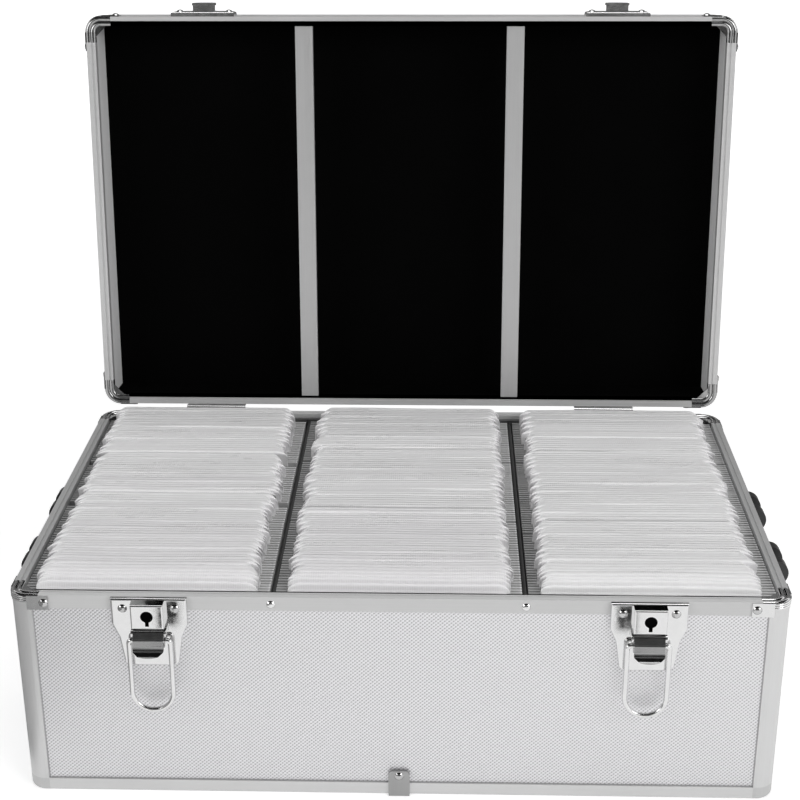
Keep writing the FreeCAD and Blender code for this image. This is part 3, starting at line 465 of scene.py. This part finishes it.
def dress():
    """Gives every node its material. Those not listed are bright chrome."""
    looks = {
        board_skin("skin_front", X, Z, seam_shaded=True): ["front_panel", "back_panel"],
        board_skin("skin_side", Y, Z): ["left_panel", "right_panel"],
        board_skin("skin_flat", X, Y): ["bottom_panel"],
        board_skin("lid_skin_front", X, Z, on_lid=True): ["lid_front_panel", "lid_back_panel"],
        board_skin("lid_skin_side", Y, Z, on_lid=True): ["lid_left_panel", "lid_right_panel"],
        board_skin("lid_skin_flat", X, Y, on_lid=True): ["lid_top_panel"],
        satin("satin_edge", along=X, grey=0.70, metal=0.5): ["bottom_edges"],
        satin("satin_rim_x", along=X, grey=0.66, metal=0.05, shade_strip_mm=box_shade_strip_inset_mm): [
            "box_rim_front", "box_rim_back",
        ],
        satin("satin_rim_y", along=Y, grey=0.64, metal=0.5): [
            "box_rim_left", "box_rim_right", "side_rails",
        ],
        satin("satin_post", along=Z, grey=0.68, metal=0.6): ["corner_posts"],
        satin("satin_foot", along=Z, grey=0.60, metal=0.5): ["bottom_corner_caps"],
        satin("satin_clip", along=Z, grey=0.40, metal=0.4): ["bottom_edge_clips"],
        satin("satin_lid_rim", along=X, grey=0.66, metal=0.4, on_lid=True, shade_strip_mm=lid_shade_strip_inset_mm): [
            "lid_rims",
        ],
        satin("satin_lid_edge", along=X, grey=0.68, metal=0.5, on_lid=True): [
            "lid_top_edges", "lid_corner_posts", "lid_corner_caps",
        ],
        satin("satin_lid_bar", along=Y, grey=0.56, metal=0.5, on_lid=True): ["lid_bars"],
        satin("satin_liner", along=Y, grey=0.94, metal=0.0, on_lid=True): ["lid_side_liners"],
        # Painted reflection: the levers are a darker copy of the chrome, for the dark surroundings
        # they reflect.
        chrome("chrome_lever_painted_shade", grey=0.3, rough=0.16): ["latch_lever_left", "latch_lever_right"],
        chrome("chrome_keeper", grey=0.72, rough=0.22): ["latch_keepers"],
        chrome("chrome_corner", grey=0.7, rough=0.13): ["box_rim_corners"],
        # Painted shade: the lid's corner fittings are a darker copy of the chrome.
        chrome("chrome_lid_corner_painted_shade", grey=0.36, rough=0.16): ["lid_rim_corners"],
        # Painted shade: the rivets are a darker copy of the chrome, for their shaded rings.
        chrome("chrome_rivet", grey=0.5, rough=0.1): ["box_rivets", "lid_rivets"],
        chrome("zinc_steel", grey=0.55, rough=0.25): ["lever_pins", "hinge_pins", "handle_pins"],
        plastic("black_plastic", grey=0.022, rough=0.42): [
            "handle_mounts", "handle_grip_left", "handle_grip_right",
        ],
        plastic("dark_bracket", grey=0.12, rough=0.5): ["rail_brackets"],
        # Painted shade: the lock cams are near black with no shine, so the keyholes read as dark
        # holes.
        plastic("keyway_painted_shade", grey=0.003, rough=0.9, shine=0.0): ["lock_cam_left", "lock_cam_right"],
        rail_plastic("divider_rail"): ["divider_rails"],
        flock("flock"): ["lid_lining"],
    }
    for row in row_seeds:
        looks[hanger_plastic(row)] = ["sleeve_hangers_" + row]
    bright = chrome("chrome", grey=0.72, rough=0.07)
    done = {name: look for look, names in looks.items() for name in names}
    for name, node in nodes.items():
        node.data.materials.clear()
        node.data.materials.append(done.get(name, bright))


# Sleeves


def pouch_places(row):
    """Front and back of each pouch along Y, read from the frame."""
    found = sorted({round(v.co.y, 6) for v in nodes["sleeve_pouches_" + row].data.vertices})
    return list(zip(found[::2], found[1::2]))


def smooth(t):
    """An even rise from 0 to 1 that starts and ends gently."""
    t = min(1.0, max(0.0, t))
    return t * t * (3 - 2 * t)


def drift(rng, count, step):
    """A slow random walk from about -1 to 1, smooth from one sleeve to the next."""
    anchors = [rng.uniform(-1, 1) for _ in range(count // step + 3)]
    out = []
    for n in range(count):
        at, part = divmod(n / step, 1)
        a, b = anchors[int(at)], anchors[int(at) + 1]
        out.append(a + (b - a) * smooth(part))
    return out


def pouch_stations(left, right):
    """Places along the width, closer together at the round corners."""
    near = [d * MM for d in pouch_stations_mm]
    return [left + d for d in near] + [(left + right) / 2] + [right - d for d in reversed(near)]


def swing(wave, x, phase):
    return wave.height * math.sin(x / wave.length + phase)


def pouch_ring(x, low, hanger_top, sleeve):
    """Points around a pouch at one place along its width, from the front's foot over the fold."""
    left, right = sleeve.ends
    end = 0 if x - left < right - x else 1
    edge = min(x - left, right - x)
    radius = sleeve.corners[end]
    fall = max(0.0, 1 - edge / radius) ** corner_power
    ripple = swing(crest_wave, x, sleeve.waves[0]) + swing(crest_ripple, x, sleeve.waves[1])
    crest = sleeve.top - radius * fall + ripple
    lean = sleeve.lean + swing(sway_wave, x, sleeve.waves[2])
    full = smooth(edge / pouch_seam_reach)
    thick = pouch_seam_thickness + (pouch_fold_thickness - pouch_seam_thickness) * full
    thin = pouch_seam_thickness + (pouch_body_thickness - pouch_seam_thickness) * full
    rise = max(crest - hanger_top, MM)
    front = sleeve.front + pouch_front_play
    body = (low, (low + hanger_top) / 2, hanger_top - pouch_neck_drop, hanger_top + pouch_neck_rise)
    fold = []
    for share, down in fold_section:
        depth = down * MM * min(1, rise / fold_depth)
        bend = max(0.0, 1 - (edge + depth) / pouch_flap_reach) ** bend_power
        z = crest - depth - sleeve.sags[end] * bend
        y = front + thick * share + lean * smooth((z - hanger_top) / rise)
        fold.append((x, y - sleeve.droops[end] * bend, z))
    return [(x, front, z) for z in body] + fold + [(x, front + thin, z) for z in reversed(body)]


def add_pouch(mesh, shade, low, hanger_top, sleeve):
    """A soft folded sleeve: thin below, fuller at the fold, with thin drooping tips."""
    left, right = sleeve.ends
    rings = []
    for x in pouch_stations(left, right):
        edge = min(x - left, right - x)
        # Painted light: the tips are painted lighter.
        light = pouch_tip_painted_light * max(0.0, 1 - edge / pouch_tip_reach)
        rings.append([mesh.verts.new(place) for place in pouch_ring(x, low, hanger_top, sleeve)])
        for vert in rings[-1]:
            vert[shade] = sleeve.tone + light
    count = len(rings[0])
    for one, two in zip(rings, rings[1:]):
        for n in range(count):
            m = (n + 1) % count
            mesh.faces.new((one[n], two[n], two[m], one[m])).smooth = True
    for ring in (rings[0], list(reversed(rings[-1]))):
        mesh.faces.new(ring).smooth = True


def bunch_marks(places):
    """For each sleeve, how many stand before it and after it in its bunch."""
    steps = [there[0] - here[0] for here, there in zip(places, places[1:])]
    starts = [0] + [n + 1 for n, step in enumerate(steps) if step > bunch_break]
    ends = starts[1:] + [len(places)]
    marks = []
    for first, last in zip(starts, ends):
        marks += [(n - first, last - 1 - n) for n in range(first, last)]
    return marks


def bundles(rng, count):
    """Small groups that sit together: each sleeve's group and its share of the way through it."""
    out = []
    while len(out) < count:
        size = rng.randint(*bundle_sizes)
        values = Bundle(*[rng.uniform(-1, 1) for _ in Bundle._fields])
        out += [(values, n / size) for n in range(size)]
    return out


def pouch_row(row):
    """All the pouches of a row as one piece. Sleeves of a bundle share their waves."""
    rng = random.Random(row_seeds[row])
    low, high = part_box("sleeve_pouches_" + row)
    hanger_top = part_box("sleeve_hangers_" + row)[1].z
    places = pouch_places(row)
    count = len(places)
    mesh = bmesh.new()
    shade = mesh.verts.layers.float.new("shade")
    slow = drift(rng, count, crest_drift_step)
    groups = bundles(rng, count)
    waves = None
    for n, (before, after) in enumerate(bunch_marks(places)):
        group, share = groups[n]
        top = high.z - crest_drop + crest_drift * slow[n] + crest_bundle * group.top
        top += rng.uniform(-crest_jitter, crest_jitter)
        top += crest_back_rise * smooth(2 * n / count - 1)
        top = min(top, high.z - crest_clearance) - crest_front_drop * crest_front_fade**n
        lean = lean_mean + lean_bundle * group.lean - lean_through_bundle * (share - lean_middle)
        lean += lean_row_front * lean_row_front_fade**n
        lean -= lean_row_back * lean_row_back_fade ** (count - 1 - n)
        lean -= lean_bunch_front * lean_bunch_fade**before
        lean += lean_bunch_back * lean_bunch_fade**after
        loose = smooth(n / loose_from)
        reach = []
        for side in (group.left, group.right):
            wanted = end_reach_bundle * side + rng.uniform(-end_reach_jitter, end_reach_jitter)
            reach.append(min(end_reach_most, wanted) * loose)
        # Painted light: sleeves towards the back, which the lid shades, are painted lighter; the
        # bundle and sleeve tones vary at random.
        tone = row_tones_with_painted_light[row] + n / count + bundle_tone * group.tone
        sleeve = Sleeve(
            ends=(low.x - reach[0], high.x + reach[1] - row_trims[row]),
            top=top,
            front=places[n][0],
            lean=lean,
            tone=tone + rng.uniform(-sleeve_tone, sleeve_tone),
            corners=[rng.uniform(*corner_radii) for _ in range(2)],
            droops=[rng.uniform(*tip_droops) * loose for _ in range(2)],
            sags=[rng.uniform(*tip_sags) for _ in range(2)],
            waves=[rng.uniform(0, 2 * math.pi) for _ in range(3)],
        )
        waves = waves if share else sleeve.waves
        add_pouch(mesh, shade, low.z, hanger_top, sleeve._replace(waves=waves))
    bmesh.ops.recalc_face_normals(mesh, faces=mesh.faces)
    data = bpy.data.meshes.new("pouches_" + row)
    mesh.to_mesh(data)
    mesh.free()
    piece = bpy.data.objects.new("pouches_" + row, data)
    bpy.context.scene.collection.objects.link(piece)
    return piece


def make_sleeves():
    look = fleece("fleece")
    for row in row_seeds:
        piece = pouch_row(row)
        piece.data.materials.append(look)
        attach(piece, "sleeves_" + row)
        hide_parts("sleeve_pouches_" + row)


# Studio


def flat(name, width, depth, look):
    data = bpy.data.meshes.new(name)
    x, y = width / 2, depth / 2
    data.from_pydata([(-x, -y, 0), (x, -y, 0), (x, y, 0), (-x, y, 0)], [], [(0, 1, 2, 3)])
    data.materials.append(look)
    made = bpy.data.objects.new(name, data)
    bpy.context.scene.collection.objects.link(made)
    return made


def seen(tree):
    """1 for rays from the camera, from mirrors and through glass, otherwise 0."""
    path = tree.nodes.new("ShaderNodeLightPath")
    most = path.outputs["Is Camera Ray"]
    for other in ("Is Glossy Ray", "Is Transmission Ray"):
        larger = tree.nodes.new("ShaderNodeMath")
        larger.operation = "MAXIMUM"
        tree.links.new(most, larger.inputs[0])
        tree.links.new(path.outputs[other], larger.inputs[1])
        most = larger.outputs[0]
    return most


def make_floor():
    """Pale paper that grows lighter away from the case."""
    p = Paint("floor_paper")
    place = p.place()
    cloud = p.noise(place, scale=0.004, detail=2)
    p.set(Base_Color=p.tint(cloud, dark=0.88, light=0.90), Roughness=0.9, Specular_IOR_Level=0.1)
    far = p.node("ShaderNodeVectorMath", {0: place}, operation="LENGTH").outputs["Value"]
    glow = p.math("MULTIPLY", seen(p.tree), p.remap(far, floor_fade_mm, floor_glow))
    path = p.node("ShaderNodeLightPath")
    near = p.math("MULTIPLY", path.outputs["Is Camera Ray"], floor_camera_glow)
    p.set(Emission_Color=(1, 1, 1, 1), Emission_Strength=p.math("ADD", glow, near))
    flat("floor", floor_side, floor_side, p.material)


def make_world():
    """White where it is seen, and a weaker light on the case."""
    world = bpy.data.worlds.new("studio")
    bpy.context.scene.world = world
    world.use_nodes = True
    tree = world.node_tree
    back = tree.nodes["Background"]
    back.inputs["Color"].default_value = (1, 1, 1, 1)
    level = tree.nodes.new("ShaderNodeMapRange")
    tree.links.new(seen(tree), level.inputs["Value"])
    level.inputs["To Min"].default_value = world_light
    level.inputs["To Max"].default_value = world_seen
    tree.links.new(level.outputs[0], back.inputs["Strength"])


def make_lamp(lamp):
    data = bpy.data.lights.new(lamp.name, "AREA")
    data.shape = "RECTANGLE"
    data.size, data.size_y = lamp.size
    data.energy = lamp.watts
    made = bpy.data.objects.new(lamp.name, data)
    made.location = lamp.place
    made.rotation_euler = (lamp_aim - Vector(lamp.place)).to_track_quat("-Z", "Y").to_euler()
    bpy.context.scene.collection.objects.link(made)


def make_flag(flag):
    """A plain board that only mirrors see."""
    p = Paint(flag.name)
    cloud = p.noise(p.place(), scale=0.01, detail=2)
    grey = p.tint(cloud, dark=flag.grey * 0.9, light=flag.grey * 1.1)
    p.set(Base_Color=grey, Roughness=1.0, Specular_IOR_Level=0.0)
    board = flat(flag.name, *flag.size, p.material)
    board.location = flag.place
    facing = Vector((0, 0, 0))
    facing[flag.axis] = -flag.place[flag.axis]
    board.rotation_euler = facing.to_track_quat("Z", "Y").to_euler()
    for ray in ("camera", "diffuse", "shadow", "transmission"):
        setattr(board, "visible_" + ray, False)


def make_studio():
    make_floor()
    make_world()
    for lamp in lamps:
        make_lamp(lamp)
    for flag in flags:
        make_flag(flag)


def make_camera():
    data = bpy.data.cameras.new("camera")
    data.sensor_width = camera_sensor_mm
    data.lens = camera_lens_mm
    camera = bpy.data.objects.new("camera", data)
    turn = Matrix.Rotation(math.radians(camera_turn), 4, "Z")
    tilt = Matrix.Rotation(math.radians(camera_tilt), 4, "X")
    roll = Matrix.Rotation(math.radians(camera_roll), 4, "Z")
    camera.matrix_world = Matrix.Translation(camera_place) @ turn @ tilt @ roll
    bpy.context.scene.collection.objects.link(camera)
    bpy.context.scene.camera = camera


bpy.context.scene.view_settings.view_transform = "Standard"
dress()
make_sleeves()
make_studio()
make_camera()
